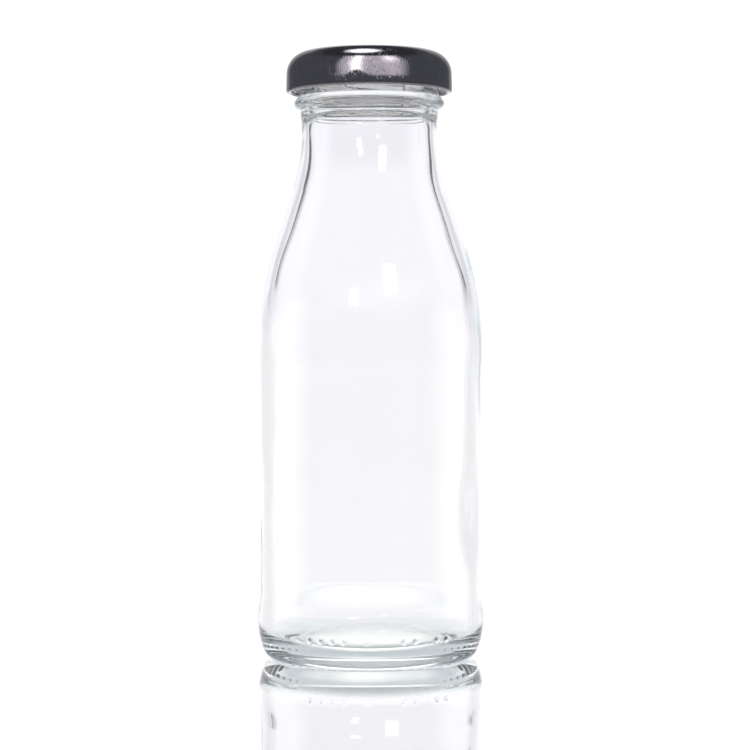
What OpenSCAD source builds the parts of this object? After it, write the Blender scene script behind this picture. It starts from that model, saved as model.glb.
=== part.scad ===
// Small glass milk bottle with a lugged twist-off cap.
// Millimetres, +Z up, origin at the centre of the ring that the bottle stands on.

/* [Bottle] */
// Height of the glass, from the bearing ring to the rim
bottle_h = 162.8; // [161:0.2:166]
// Diameter of the body at the heel band
heel_d = 61.3; // [60.6:0.1:62]
// Diameter of the body at the shoulder band
shoulder_d = 61; // [60.4:0.1:62]
// Diameter of the label panel at its lower and upper end
panel_d_low = 59.7; // [58.8:0.1:59.8]
panel_d_high = 60.25; // [59.7:0.05:60.3]
// Outside diameter of the neck
neck_d = 36.7; // [36.4:0.1:37.2]
// Diameter of the collar right under the transfer bead
collar_d = 37.3; // [37.2:0.1:37.6]
// Diameter of the transfer bead under the cap
bead_d = 40.8; // [40.2:0.1:40.9]
// Diameter of the finish wall that carries the thread runs
finish_d = 37.8; // [37.6:0.1:38]
// Diameter over the thread runs
thread_d = 41; // [40.5:0.1:41.2]
// Diameter of the mouth
bore_d = 30; // [29:0.1:30.4]
// Wall thickness at the body, in the middle of the shoulder and at the neck
body_wall = 3.1; // [2.6:0.1:3.6]
shoulder_wall = 2.9; // [2.4:0.1:3.2]
neck_wall = 2.4; // [2:0.05:2.6]

/* [Base] */
// Height of the inside floor at its centre
floor_z = 8.6; // [8.2:0.1:9]
// Height of the push-up at its centre
pushup_z = 7; // [5.5:0.1:7.1]
// Number of knurl notches round the bearing ring
knurls = 56; // [40:4:64]

/* [Cap] */
// Outside diameter of the cap
cap_d = 45; // [44.8:0.1:45.4]
// Overall height of the cap
cap_h = 11.1; // [10.8:0.1:11.2]
// Thickness of the tinplate
tin_t = 0.25; // [0.2:0.01:0.3]
// Radius of the rounded edge between panel and skirt
cap_edge_r = 6; // [5.4:0.1:6]
// Depth of the panel below the raised rim of the cap
panel_drop = 0.9; // [0.6:0.1:1]
// Number of lugs, and of thread runs on the glass
lugs = 4; // [4:1:4]
// Direction of the first lug, counted from +X
lug_az = -52; // [-90:1:90]

/* [Hidden] */
$fn = 96;

heel_r = heel_d / 2;
shoulder_r = shoulder_d / 2;
neck_r = neck_d / 2;
collar_r = collar_d / 2;
finish_r = finish_d / 2;
bore_r = bore_d / 2;
cap_r = cap_d / 2;

// Heel: a small foot arc that runs into a large arc below the heel band
heel_z = 10.3;
heel_arc_r = 22.4;
heel_join_z = 2.3;
heel_sin = (heel_z - heel_join_z) / heel_arc_r;
heel_turn = asin(heel_sin);
foot_r = heel_join_z / (1 - heel_sin);
foot_x = heel_r - heel_arc_r + (heel_arc_r - foot_r) * cos(heel_turn);

// Levels where the heel band ends, where the panel begins, widens and ends
heel_band_top = 10.9;
panel_z0 = 18.3;
panel_z1 = 42;
panel_z2 = 67;
panel_z3 = 75.5;

// Shoulder: a convex arc, a short cone and a concave arc, each tangent to the next
shoulder_z = 83.6;
neck_z = 142.4;
convex_r = 94;
concave_r = 48.5;
arcs_dx = neck_r + concave_r - (shoulder_r - convex_r);
arcs_dz = neck_z - shoulder_z;
arcs_apart = sqrt(arcs_dx * arcs_dx + arcs_dz * arcs_dz);
cone_turn = atan2(arcs_dz, arcs_dx) - acos((convex_r + concave_r) / arcs_apart);

// Collar, transfer bead, rim, and the ledge inside the finish
collar_z0 = 144.6;
collar_z1 = 146.8;
collar_top = 148.5;
bead_r = 1.35;
bead_z = 150.2;
rim_out_r = 1.5;
rim_in_r = 1;
ledge_z0 = 145;
ledge_z1 = 147.4;

// Push-up: half an ellipsoid, with a rounded edge down to the bearing ring
pushup_r = 18.6;
pushup_low = 0.4;
pushup_share = 0.985;
ring_in = 19.9;
ring_curve = 1.6;

// Inside floor: half an ellipsoid that stands in a shallow valley
floor_r = 20.4;
floor_low = 3.5;
floor_share = 0.995;
valley_z = 3;
valley_r = floor_low - valley_z;

// Inside corner: an arc that touches the bottom of the valley and the inside of the heel
corner_x = floor_r + valley_r;
corner_dx = corner_x - (heel_r - heel_arc_r);
corner_dz = heel_z - valley_z;
heel_inner_r = heel_arc_r - body_wall;
corner_r = (heel_inner_r * heel_inner_r - corner_dx * corner_dx - corner_dz * corner_dz)
    / (2 * (heel_inner_r - corner_dz));
corner_turn = asin((corner_dz - corner_r) / (heel_inner_r - corner_r));

// Row of mould dots, 6 degrees apart, given as slots counted from the front
dot_slots = [-5, -4, -3, -2, 0, 3, 4, 6, 7];
dot_step = 6;
dot_start = -91.6;
dot_z = 7.7;
dot_r = 0.85;
dot_sink = 0.3;

// Knurl of the bearing ring
knurl_r = 0.7;
knurl_depth = 0.16;

// Cap levels, curl and lugs
cap_top = bottle_h + 1.3;
cap_bottom = cap_top - cap_h;
skirt_draft = 0.1;
edge_x = cap_r - skirt_draft - cap_edge_r;
edge_z = cap_top - cap_edge_r;
curl_r = 0.75;
curl_z = cap_bottom + curl_r;
rim_ring_in = 14.7;
panel_r = 12.9;
lug_in_r = 19.35;
lug_arc_r = 6;
lug_z0 = cap_bottom + 0.12;
lug_t = 1.45;

// Thread runs: arcs of a round ridge, tilted so that their far end is low
pitch_az = 360 / lugs;
run_az = 58;
ridge_r = 1.05;
run_tilt = 4.6;
run_drop = (finish_r + 0.5) * sin(run_az / 2) * sin(run_tilt);
lug_gap = 0.12;
run_z = lug_z0 + lug_t + lug_gap + ridge_r + run_drop;

// Sealing compound
gasket_z = bottle_h + 0.05;
gasket_in = 15;
gasket_out = 19.8;
gasket_lip = 0.45;
fit_gap = 0.03;

// Points of an arc about [x, z], from angle a0 to a1, with its radius going from r0 to r1
function arc(x, z, r0, a0, a1, n, r1 = undef) =
    let (end_r = is_undef(r1) ? r0 : r1)
    [for (i = [0:n])
        let (t = i / n, a = a0 + (a1 - a0) * t, r = r0 + (end_r - r0) * t)
        [x + r * cos(a), z + r * sin(a)]];

// Points of a smooth step from [x0, z0] to [x1, z1]
function step(x0, z0, x1, z1, n) =
    [for (i = [0:n])
        let (t = i / n)
        [x0 + (x1 - x0) * (1 - cos(180 * t)) / 2, z0 + (z1 - z0) * t]];

// Half an ellipsoid over radius r, from the axis out to a share of that radius
function cushion(r, low, top, share, n) =
    [for (i = [0:n])
        let (t = sin(asin(share) * i / n))
        [r * t, low + (top - low) * sqrt(1 - t * t)]];

function reversed(p) = [for (i = [len(p) - 1:-1:0]) p[i]];

// Outside of the glass, from the push-up's centre round the heel to the rim
function outside() = concat(
    cushion(pushup_r, pushup_low, pushup_z, pushup_share, 12),
    arc(ring_in, ring_curve, ring_curve, -172, -90, 5),
    arc(foot_x, foot_r, foot_r, -90, -heel_turn, 10),
    arc(heel_r - heel_arc_r, heel_z, heel_arc_r, -heel_turn + 3, 0, 8),
    step(heel_r, heel_band_top, panel_d_low / 2, panel_z0, 12),
    step(panel_d_low / 2, panel_z1, panel_d_high / 2, panel_z2, 6),
    step(panel_d_high / 2, panel_z3, shoulder_r, shoulder_z - 1.2, 12),
    arc(shoulder_r - convex_r, shoulder_z, convex_r, 0, cone_turn, 24),
    arc(neck_r + concave_r, neck_z, concave_r, 180 + cone_turn, 180, 18),
    step(neck_r, collar_z0, collar_r, collar_z1, 5),
    [[collar_r, collar_top]],
    arc(bead_d / 2 - bead_r, bead_z, bead_r, -75, 90, 14),
    [[finish_r, bead_z + bead_r]],
    arc(finish_r - rim_out_r, bottle_h - rim_out_r, rim_out_r, 0, 90, 8));

// Inside of the glass, from the floor's centre to the rim
function inside() = concat(
    cushion(floor_r, floor_low, floor_z, floor_share, 14),
    arc(corner_x, floor_low, valley_r, -174, -96, 4),
    arc(corner_x, valley_z + corner_r, corner_r, -90, -corner_turn, 12),
    arc(heel_r - heel_arc_r, heel_z, heel_inner_r, -corner_turn / 2, 0, 2),
    step(heel_r - body_wall, heel_band_top, panel_d_low / 2 - body_wall, panel_z0, 10),
    step(panel_d_low / 2 - body_wall, panel_z1, panel_d_high / 2 - body_wall, panel_z2, 6),
    step(panel_d_high / 2 - body_wall, panel_z3, shoulder_r - body_wall, shoulder_z - 1.2, 10),
    arc(shoulder_r - convex_r, shoulder_z, convex_r - body_wall, 0, cone_turn, 24,
        convex_r - shoulder_wall),
    arc(neck_r + concave_r, neck_z, concave_r + shoulder_wall, 180 + cone_turn, 180, 18,
        concave_r + neck_wall),
    step(neck_r - neck_wall, ledge_z0, bore_r, ledge_z1, 8),
    arc(bore_r + rim_in_r, bottle_h - rim_in_r, rim_in_r, 180, 90, 6));

module thread_run() {
    translate([0, 0, run_z])
        rotate([run_tilt, 0, 0])
            rotate([0, 0, -run_az / 2]) {
                rotate_extrude(angle = run_az)
                    translate([thread_d / 2 - ridge_r, 0])
                        circle(ridge_r);
                for (end_az = [0, run_az])
                    rotate([0, 0, end_az])
                        translate([thread_d / 2 - ridge_r, 0, 0])
                            sphere(ridge_r);
            }
}

module heel_dot(slot) {
    heel_angle = asin((heel_z - dot_z) / heel_arc_r);
    dot_x = heel_r - heel_arc_r + (heel_arc_r - dot_sink) * cos(heel_angle);
    rotate([0, 0, dot_start + slot * dot_step])
        translate([dot_x, 0, dot_z])
            sphere(dot_r);
}

module knurl_notch() {
    translate([foot_x - 1, 0, knurl_depth - knurl_r])
        rotate([0, 90, 0])
            cylinder(r = knurl_r, h = foot_r);
}

module bottle() {
    color([0.86, 0.93, 0.94, 0.4])
        difference() {
            union() {
                rotate_extrude()
                    polygon(concat(outside(), reversed(inside())));
                for (i = [0:lugs - 1])
                    rotate([0, 0, lug_az + (i - 0.5) * pitch_az])
                        thread_run();
                for (slot = dot_slots)
                    heel_dot(slot);
            }
            for (i = [0:knurls - 1])
                rotate([0, 0, i * 360 / knurls])
                    knurl_notch();
        }
}

// Half section of the tinplate, from the panel over the rim and down to the rolled curl
function shell_line(inset) = concat(
    [[0, cap_top - panel_drop - inset]],
    step(panel_r - inset / 2, cap_top - panel_drop - inset, rim_ring_in, cap_top - inset, 8),
    arc(edge_x, edge_z, cap_edge_r - inset, 90, 0, 14),
    arc(cap_r - curl_r, curl_z, curl_r - inset, 0, -270, 18));

// The flattened part of the curl that hooks under a thread run
module lug() {
    intersection() {
        translate([0, 0, lug_z0])
            difference() {
                cylinder(r = cap_r - curl_r, h = lug_t);
                translate([0, 0, -1])
                    cylinder(r = lug_in_r, h = lug_t + 2);
            }
        translate([lug_in_r + lug_arc_r, 0, lug_z0 - 1])
            cylinder(r = lug_arc_r, h = lug_t + 2);
    }
}

module cap_shell() {
    color([0.36, 0.36, 0.39])
        union() {
            rotate_extrude()
                polygon(concat(shell_line(0), reversed(shell_line(tin_t))));
            for (i = [0:lugs - 1])
                rotate([0, 0, lug_az + i * pitch_az])
                    lug();
        }
}

module cap_gasket() {
    roof_r = cap_edge_r - tin_t - fit_gap;
    roof_end = acos((gasket_out - edge_x) / roof_r);
    lip_z = edge_z + roof_r * sin(roof_end) - gasket_lip;
    color([0.87, 0.85, 0.8])
        rotate_extrude()
            polygon(concat(
                [[gasket_in, gasket_z], [gasket_in, edge_z + roof_r]],
                arc(edge_x, edge_z, roof_r, 90, roof_end, 8),
                [[gasket_out, lip_z], [gasket_out - 1, gasket_z]]));
}

bottle();
cap_shell();
cap_gasket();
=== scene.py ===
# Looks for the small glass milk bottle: the glass, the tinplate twist-off cap and its sealing ring.
import math

import bmesh
import bpy
import numpy as np
from mathutils import Euler, Matrix, Vector


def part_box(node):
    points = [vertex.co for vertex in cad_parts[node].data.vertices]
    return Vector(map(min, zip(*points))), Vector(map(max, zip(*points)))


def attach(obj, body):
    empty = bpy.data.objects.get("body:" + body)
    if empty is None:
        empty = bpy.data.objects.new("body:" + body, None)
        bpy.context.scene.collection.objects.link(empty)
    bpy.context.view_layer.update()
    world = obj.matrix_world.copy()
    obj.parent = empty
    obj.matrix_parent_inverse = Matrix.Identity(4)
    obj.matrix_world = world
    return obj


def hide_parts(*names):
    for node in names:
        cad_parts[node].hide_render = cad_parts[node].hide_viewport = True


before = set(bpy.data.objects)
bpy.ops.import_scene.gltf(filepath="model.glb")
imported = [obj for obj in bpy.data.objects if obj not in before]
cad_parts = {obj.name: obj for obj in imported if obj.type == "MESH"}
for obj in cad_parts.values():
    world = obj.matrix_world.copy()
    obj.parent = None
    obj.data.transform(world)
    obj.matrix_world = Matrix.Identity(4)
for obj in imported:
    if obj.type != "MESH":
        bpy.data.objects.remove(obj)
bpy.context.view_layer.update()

MM = 0.001

# ---------------------------------------------------------------- sizes, in millimetres
BOTTLE_LOW, BOTTLE_HIGH = (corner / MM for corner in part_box("bottle"))
CAP_LOW, CAP_HIGH = (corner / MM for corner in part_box("cap_shell"))
_, RING_HIGH = (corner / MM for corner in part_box("cap_gasket"))

BOTTLE_H = BOTTLE_HIGH.z
HEEL_R = min(-BOTTLE_LOW.x, -BOTTLE_LOW.y, BOTTLE_HIGH.x, BOTTLE_HIGH.y)
SHOULDER_R = 30.5
PANEL_R_LOW = 29.85
PANEL_R_HIGH = 30.125
NECK_R = 18.35
COLLAR_R = 18.65
FINISH_R = 18.9
BEAD_OUT_R = 20.4
BORE_R = 15.0
RIM_OUT_R, RIM_IN_R = 1.5, 1.0
BODY_WALL, SHOULDER_WALL, NECK_WALL = 3.1, 2.9, 2.4

# Heel: a wide arc, then a small one that carries on from it at FOOT_Z and ends flat on the floor
HEEL_Z = 10.3
HEEL_ARC_R = 22.4
FOOT_Z = 2.3
HEEL_SIN = (HEEL_Z - FOOT_Z) / HEEL_ARC_R
HEEL_TURN = math.degrees(math.asin(HEEL_SIN))
FOOT_R = FOOT_Z / (1 - HEEL_SIN)
FOOT_X = HEEL_R - HEEL_ARC_R + (HEEL_ARC_R - FOOT_R) * math.cos(math.radians(HEEL_TURN))

# Base: a push-up under the floor, and a floor that follows it
PUSHUP_R, PUSHUP_LOW, PUSHUP_RISE = 18.6, 0.4, 6.6
RING_IN, RING_CURVE = 19.9, 1.6
FLOOR_DOME_R, FLOOR_DOME_LOW, FLOOR_DOME_RISE = 20.4, 3.5, 5.1
VALLEY_Z = 3.0
# The inner corner touches the bottom of the valley and the inside of the heel's arc.
CORNER_X = FLOOR_DOME_R + FLOOR_DOME_LOW - VALLEY_Z
CORNER_DX, CORNER_DZ = CORNER_X - (HEEL_R - HEEL_ARC_R), HEEL_Z - VALLEY_Z
HEEL_INNER_ARC = HEEL_ARC_R - BODY_WALL
CORNER_R = (HEEL_INNER_ARC**2 - CORNER_DX**2 - CORNER_DZ**2) / (2 * (HEEL_INNER_ARC - CORNER_DZ))
CORNER_TURN = math.degrees(math.asin((CORNER_DZ - CORNER_R) / (HEEL_INNER_ARC - CORNER_R)))
PUSHUP_Z = PUSHUP_LOW + PUSHUP_RISE
FLOOR_Z = FLOOR_DOME_LOW + FLOOR_DOME_RISE

# Heights at which the body's outline changes: heel, panel, its straight part, its widening and its top
HEEL_TOP_Z, PANEL_LOW_Z = 10.9, 18.3
STRAIGHT_LOW_Z, STRAIGHT_HIGH_Z = 22, 38
WIDEN_LOW_Z, WIDEN_HIGH_Z = 42, 67
PANEL_TOP_Z = 75.5

# Shoulder arcs and the cone between them
SHOULDER_Z, NECK_Z = 83.6, 142.4
CONVEX_R, CONCAVE_R = 94.0, 48.5
ARCS_DX = NECK_R + CONCAVE_R - (SHOULDER_R - CONVEX_R)
ARCS_DZ = NECK_Z - SHOULDER_Z
CONE_TURN = math.degrees(
    math.atan2(ARCS_DZ, ARCS_DX) - math.acos((CONVEX_R + CONCAVE_R) / math.hypot(ARCS_DX, ARCS_DZ))
)
SHOULDER_STEP_Z = SHOULDER_Z - 1.2

# Neck: the collar, the fillet under the transfer bead, the bead, and the ledge inside
COLLAR_LOW_Z, COLLAR_HIGH_Z = 144.6, 146.8
FILLET_X, FILLET_Z, FILLET_R = 19.25, 148.25, 0.6
BEAD_Z, BEAD_R = 150.2, 1.35
LEDGE_R = BORE_R + 0.5
LEDGE_LOW_Z, LEDGE_STEP_Z, LEDGE_MID_Z, LEDGE_HIGH_Z = 146.3, 146.8, 147.2, 151

# Thread runs on the finish, one between each two lugs of the cap
LUGS = 4
LUG_AZ = -52.0
RUN_AZ = 58.0
RIDGE_R = 1.05
THREAD_R = 20.5
RUN_TILT = 4.6

# Cap
CAP_R = CAP_HIGH.x
CAP_TOP = CAP_HIGH.z
CAP_BOTTOM = CAP_LOW.z
CAP_EDGE_R = 6.0
TIN_T = 0.25
SKIRT_DRAFT = 0.1
CURL_R = 0.75
CURL_END, CURL_STEPS = -265, 30
LUG_IN_R = 19.35
LUG_HALF_AZ, LUG_FADE_AZ = 5.0, 6.0
PANEL_DROP = 0.9
PANEL_Z = CAP_TOP - PANEL_DROP
# The cap's rounded edge: the centre of its arc
EDGE_X, EDGE_Z = CAP_R - SKIRT_DRAFT - CAP_EDGE_R, CAP_TOP - CAP_EDGE_R
# Radii from the panel's middle outwards: the flat, the bead, which stands PANEL_BEAD_H high, and the slope
PANEL_FLAT = (0.4, 9.4)
PANEL_BEAD = (9.8, 10.5, 10.9, 11.6)
PANEL_BEAD_H = 0.18
SLOPE_IN_R, SLOPE_OUT_R = 12.6, 14.7
# The slope rolls over this arc into the cap's edge
CROWN_X, CROWN_R = EDGE_X - 0.4, 3.0

# The lugs start LUG_LIFT over the cap's lower edge and are LUG_T thick. The runs clear them by LUG_GAP.
LUG_LIFT, LUG_T, LUG_GAP = 0.12, 1.45, 0.12
RUN_DROP = (FINISH_R + 0.5) * math.sin(math.radians(RUN_AZ / 2)) * math.sin(math.radians(RUN_TILT))
RUN_Z = CAP_BOTTOM + LUG_LIFT + LUG_T + LUG_GAP + RIDGE_R + RUN_DROP

# Sealing compound, clear of the tin and of the rim
COMPOUND_IN_R = 15.0
COMPOUND_GAP, RIM_GAP = 0.03, 0.05
COMPOUND_LIP, COMPOUND_LIP_R = 0.45, 0.12
COMPOUND_ROUND_R = 0.3
GROOVE = (15.7, 16.3, 17.6, 18.4)
GROOVE_DEEP = 0.16

# Mesh density round the axis: coarse everywhere, fine over the knurl and the heel dots
COARSE = 192
FINE = 576


# ---------------------------------------------------------------- half sections
def arc(x, z, r0, a0, a1, n, r1=None):
    """Points of an arc about (x, z), from a0 to a1 degrees, whose radius goes from r0 to r1."""
    r1 = r0 if r1 is None else r1
    t = np.linspace(0, 1, n + 1)
    a, r = np.radians(a0 + (a1 - a0) * t), r0 + (r1 - r0) * t
    return list(zip(x + r * np.cos(a), z + r * np.sin(a)))


def step(x0, z0, x1, z1, n):
    """Points of a smooth step from one radius to another."""
    t = np.linspace(0, 1, n + 1)
    return list(zip(x0 + (x1 - x0) * (1 - np.cos(np.pi * t)) / 2, z0 + (z1 - z0) * t))


def line(x0, z0, x1, z1, n):
    """Points of a straight line."""
    t = np.linspace(0, 1, n + 1)
    return list(zip(x0 + (x1 - x0) * t, z0 + (z1 - z0) * t))


def cushion(r, low, rise, share, n):
    """The profile of half an ellipsoid, from just off the axis out to a share of its radius."""
    t = np.sin(np.linspace(0, math.asin(share), n + 1)[1:])
    return list(zip(r * t, low + rise * np.sqrt(1 - t * t)))


def smooth(t):
    """0 up to 0, 1 from 1 on, and a smooth rise between."""
    t = np.clip(t, 0, 1)
    return t * t * (3 - 2 * t)


# ---------------------------------------------------------------- meshes
def new_object(name, verts_mm, faces, materials):
    """A smooth mesh object from vertices in millimetres."""
    mesh = bpy.data.meshes.new(name)
    mesh.from_pydata([tuple(v) for v in np.asarray(verts_mm) * MM], [], faces)
    mesh.validate()
    mesh.shade_smooth()
    for material in materials:
        mesh.materials.append(material)
    obj = bpy.data.objects.new(name, mesh)
    bpy.context.scene.collection.objects.link(obj)
    return obj


def join_rings(first, n_first, second, n_second):
    """Faces between two rings of vertices, given their first indices and counts.

    The counts are equal, or one is a multiple of the other.
    """
    faces = []
    if n_first == n_second:
        for i in range(n_first):
            j = (i + 1) % n_first
            faces.append((first + i, first + j, second + j, second + i))
        return faces
    fine, n_fine, coarse, n_coarse = first, n_first, second, n_second
    flip = n_first < n_second
    if flip:
        fine, n_fine, coarse, n_coarse = second, n_second, first, n_first
    k = n_fine // n_coarse
    middle = k // 2
    for i in range(n_coarse):
        here, there = coarse + i, coarse + (i + 1) % n_coarse
        ring = [fine + (i * k + m) % n_fine for m in range(k + 1)]
        made = [(ring[m], ring[m + 1], here) for m in range(middle)]
        made.append((ring[middle], ring[middle + 1], there, here))
        made += [(ring[m], ring[m + 1], there) for m in range(middle + 1, k)]
        faces += [face[::-1] for face in made] if flip else made
    return faces


def skin_rings(rings, start_pole=None, end_pole=None):
    """Vertices and faces of a tube through the rings, each an (n, 3) array, closed at its poles."""
    verts, faces, starts = [], [], []
    if start_pole is not None:
        verts.append(np.array([start_pole]))
    count = sum(len(v) for v in verts)
    for ring in rings:
        starts.append(count)
        verts.append(ring)
        count += len(ring)
    if start_pole is not None:
        n = len(rings[0])
        faces += [(0, starts[0] + (i + 1) % n, starts[0] + i) for i in range(n)]
    for a in range(len(rings) - 1):
        faces += join_rings(starts[a], len(rings[a]), starts[a + 1], len(rings[a + 1]))
    if end_pole is not None:
        verts.append(np.array([end_pole]))
        n = len(rings[-1])
        faces += [(count, starts[-1] + i, starts[-1] + (i + 1) % n) for i in range(n)]
    return np.vstack(verts), faces


def ring_of(radius, z, n):
    """A ring of n points. Its radius and height are numbers, or functions of the angle."""
    theta = 2 * np.pi * np.arange(n) / n
    r = radius(theta) if callable(radius) else np.full(n, radius)
    h = z(theta) if callable(z) else np.full(n, z)
    return np.stack([r * np.cos(theta), r * np.sin(theta), h], axis=1)


# ---------------------------------------------------------------- glass
# Knurl: round notches across the bearing ring, from KNURL_REACH inside the foot's arc outwards
KNURLS = 56
KNURL_R = 0.7
KNURL_DEPTH = 0.16
KNURL_REACH = 1
# Dots on the heel: the slots of a row round it that hold one
DOT_SLOTS = [-5, -4, -3, -2, 0, 3, 4, 6, 7]
DOT_STEP = 6.0
DOT_START = -91.6
DOT_Z = 7.7
DOT_R = 0.85
DOT_SINK = 0.3
PUSHUP_ROWS = 24
# The thicker place on the right-hand side of the inside
SAG_AZ, SAG_SPREAD = -14, 0.3
SAG_Z, SAG_HEIGHT, SAG_DEPTH = 38, 11, 0.75
# The waves start over the base and mostly end at the ledge in the neck. They are weaker where the radius is
# under WAVE_FULL_R.
WAVE_START_Z, WAVE_START_SOFT = 9, 10
WAVE_END_Z, WAVE_END_SOFT, WAVE_END_SHARE = 143, 9, 0.85
WAVE_FULL_R = 22


def turn_between(theta, centre_deg):
    """Angle from a direction, in radians, from -pi to pi."""
    return (theta - math.radians(centre_deg) + np.pi) % (2 * np.pi) - np.pi


def knurl_lift(theta, r):
    """Height that the knurl's notches cut into the bearing ring at radius r."""
    pitch = 2 * np.pi / KNURLS
    s = ((theta + pitch / 2) % pitch - pitch / 2) * r
    ceiling = KNURL_DEPTH - KNURL_R + np.sqrt(np.maximum(KNURL_R**2 - s**2, 0))
    return np.where(r > FOOT_X - KNURL_REACH, np.maximum(ceiling, 0), 0)


def dot_bulge(theta, r, z):
    """How far the mould's dots stand out of the heel."""
    out = np.zeros_like(theta)
    for slot in DOT_SLOTS:
        s = turn_between(theta, DOT_START + slot * DOT_STEP) * r
        reach2 = DOT_R**2 - s**2 - (z - DOT_Z) ** 2
        out = np.maximum(out, np.sqrt(np.maximum(reach2, 0)) - DOT_SINK)
    return out


def thread_bulge(theta, z):
    """How far the thread runs stand out of the finish wall."""
    out = np.zeros_like(theta)
    half = math.radians(RUN_AZ / 2)
    tilt = math.sin(math.radians(RUN_TILT))
    for i in range(LUGS):
        turn = turn_between(theta, LUG_AZ + (i - 0.5) * 360 / LUGS)
        inside = np.clip(turn, -half, half)
        level = RUN_Z + THREAD_R * np.sin(inside) * tilt
        along = (turn - inside) * THREAD_R
        reach2 = RIDGE_R**2 - along**2 - (z - level) ** 2
        bulge = THREAD_R - RIDGE_R + np.sqrt(np.maximum(reach2, 0)) - FINISH_R
        out = np.maximum(out, np.where(reach2 > 0, bulge, 0))
    return out


def inner_wave(theta, z):
    """Unevenness of the blown inside of the glass: slow swells, finer ripples and one sag."""
    swell = 0.16 * np.sin(2 * theta + 0.035 * z + 0.6) + 0.1 * np.sin(theta - 0.05 * z + 2.1)
    ripple = 0.05 * np.sin(3 * theta + 0.21 * z) * np.sin(0.13 * z + 1.2)
    ripple += 0.03 * np.sin(7 * theta - 0.11 * z + 0.5) + 0.025 * np.sin(5 * theta + 0.37 * z + 2.0)
    off_az, off_z = turn_between(theta, SAG_AZ) / SAG_SPREAD, (z - SAG_Z) / SAG_HEIGHT
    return swell + ripple - SAG_DEPTH * np.exp(-(off_az**2) - off_z**2)


def outer_rows():
    """(r, z, segments, kind) of the outside of the glass, from the push-up's centre to the rim."""
    heel_x = HEEL_R - HEEL_ARC_R
    finish_low, finish_high = BEAD_Z + BEAD_R, BOTTLE_H - RIM_OUT_R
    parts = [
        (cushion(PUSHUP_R, PUSHUP_LOW, PUSHUP_RISE, 0.985, PUSHUP_ROWS), COARSE, "plain"),
        (arc(RING_IN, RING_CURVE, RING_CURVE, -172, -90, 8), COARSE, "plain"),
        (line(RING_IN + 0.8, 0, FOOT_X - 1.4, 0, 4), COARSE, "plain"),
        (line(FOOT_X - KNURL_REACH, 0, FOOT_X - 0.3, 0, 2), FINE, "knurl"),
        (arc(FOOT_X, FOOT_R, FOOT_R, -90, -HEEL_TURN, 12), FINE, "knurl"),
        (arc(heel_x, HEEL_Z, HEEL_ARC_R, -HEEL_TURN, -4, 20)[1:], FINE, "dots"),
        (arc(heel_x, HEEL_Z, HEEL_ARC_R, -2, 0, 2), COARSE, "plain"),
        (step(HEEL_R, HEEL_TOP_Z, PANEL_R_LOW, PANEL_LOW_Z, 14), COARSE, "plain"),
        (line(PANEL_R_LOW, STRAIGHT_LOW_Z, PANEL_R_LOW, STRAIGHT_HIGH_Z, 4), COARSE, "plain"),
        (step(PANEL_R_LOW, WIDEN_LOW_Z, PANEL_R_HIGH, WIDEN_HIGH_Z, 8), COARSE, "plain"),
        (step(PANEL_R_HIGH, PANEL_TOP_Z, SHOULDER_R, SHOULDER_STEP_Z, 14), COARSE, "plain"),
        (arc(SHOULDER_R - CONVEX_R, SHOULDER_Z, CONVEX_R, 0, CONE_TURN, 24), COARSE, "plain"),
        (arc(NECK_R + CONCAVE_R, NECK_Z, CONCAVE_R, 180 + CONE_TURN, 180, 20), COARSE, "plain"),
        (step(NECK_R, COLLAR_LOW_Z, COLLAR_R, COLLAR_HIGH_Z, 7), COARSE, "plain"),
        (arc(FILLET_X, FILLET_Z, FILLET_R, 180, 105, 4), COARSE, "plain"),
        (arc(BEAD_OUT_R - BEAD_R, BEAD_Z, BEAD_R, -70, 90, 16), COARSE, "plain"),
        (line(FINISH_R, finish_low + 0.1, FINISH_R, finish_high, 36), COARSE, "thread"),
        (arc(FINISH_R - RIM_OUT_R, finish_high, RIM_OUT_R, 0, 90, 8)[1:], COARSE, "plain"),
    ]
    return [(r, z, n, kind) for points, n, kind in parts for r, z in points]


def inner_rows():
    """(r, z) of the inside of the glass, from the rim to the floor's centre."""
    up = cushion(FLOOR_DOME_R, FLOOR_DOME_LOW, FLOOR_DOME_RISE, 0.995, 20)
    fillet = FLOOR_DOME_LOW - VALLEY_Z
    up += arc(FLOOR_DOME_R + fillet, FLOOR_DOME_LOW, fillet, -176, -96, 8)
    up += arc(CORNER_X, VALLEY_Z + CORNER_R, CORNER_R, -90, -CORNER_TURN, 20)
    up += arc(HEEL_R - HEEL_ARC_R, HEEL_Z, HEEL_INNER_ARC, -CORNER_TURN + 1, 0, 8)
    low_r, high_r = PANEL_R_LOW - BODY_WALL, PANEL_R_HIGH - BODY_WALL
    up += step(HEEL_R - BODY_WALL, HEEL_TOP_Z, low_r, PANEL_LOW_Z, 14)
    up += line(low_r, STRAIGHT_LOW_Z, low_r, STRAIGHT_HIGH_Z, 5)
    up += step(low_r, WIDEN_LOW_Z, high_r, WIDEN_HIGH_Z, 8)
    up += step(high_r, PANEL_TOP_Z, SHOULDER_R - BODY_WALL, SHOULDER_STEP_Z, 14)
    start_r, end_r = CONVEX_R - BODY_WALL, CONVEX_R - SHOULDER_WALL
    up += arc(SHOULDER_R - CONVEX_R, SHOULDER_Z, start_r, 0, CONE_TURN, 24, end_r)
    neck_x = NECK_R + CONCAVE_R
    start_r, end_r = CONCAVE_R + SHOULDER_WALL, CONCAVE_R + NECK_WALL
    up += arc(neck_x, NECK_Z, start_r, 180 + CONE_TURN, 180, 20, end_r)
    up += step(NECK_R - NECK_WALL, LEDGE_LOW_Z, LEDGE_R, LEDGE_STEP_Z, 6)
    up += step(LEDGE_R, LEDGE_MID_Z, BORE_R, LEDGE_HIGH_Z, 8)
    up += line(BORE_R, LEDGE_HIGH_Z + 1, BORE_R, BOTTLE_H - 1.6, 8)
    up += arc(BORE_R + RIM_IN_R, BOTTLE_H - RIM_IN_R, RIM_IN_R, 180, 90, 7)
    return up[::-1]


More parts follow.
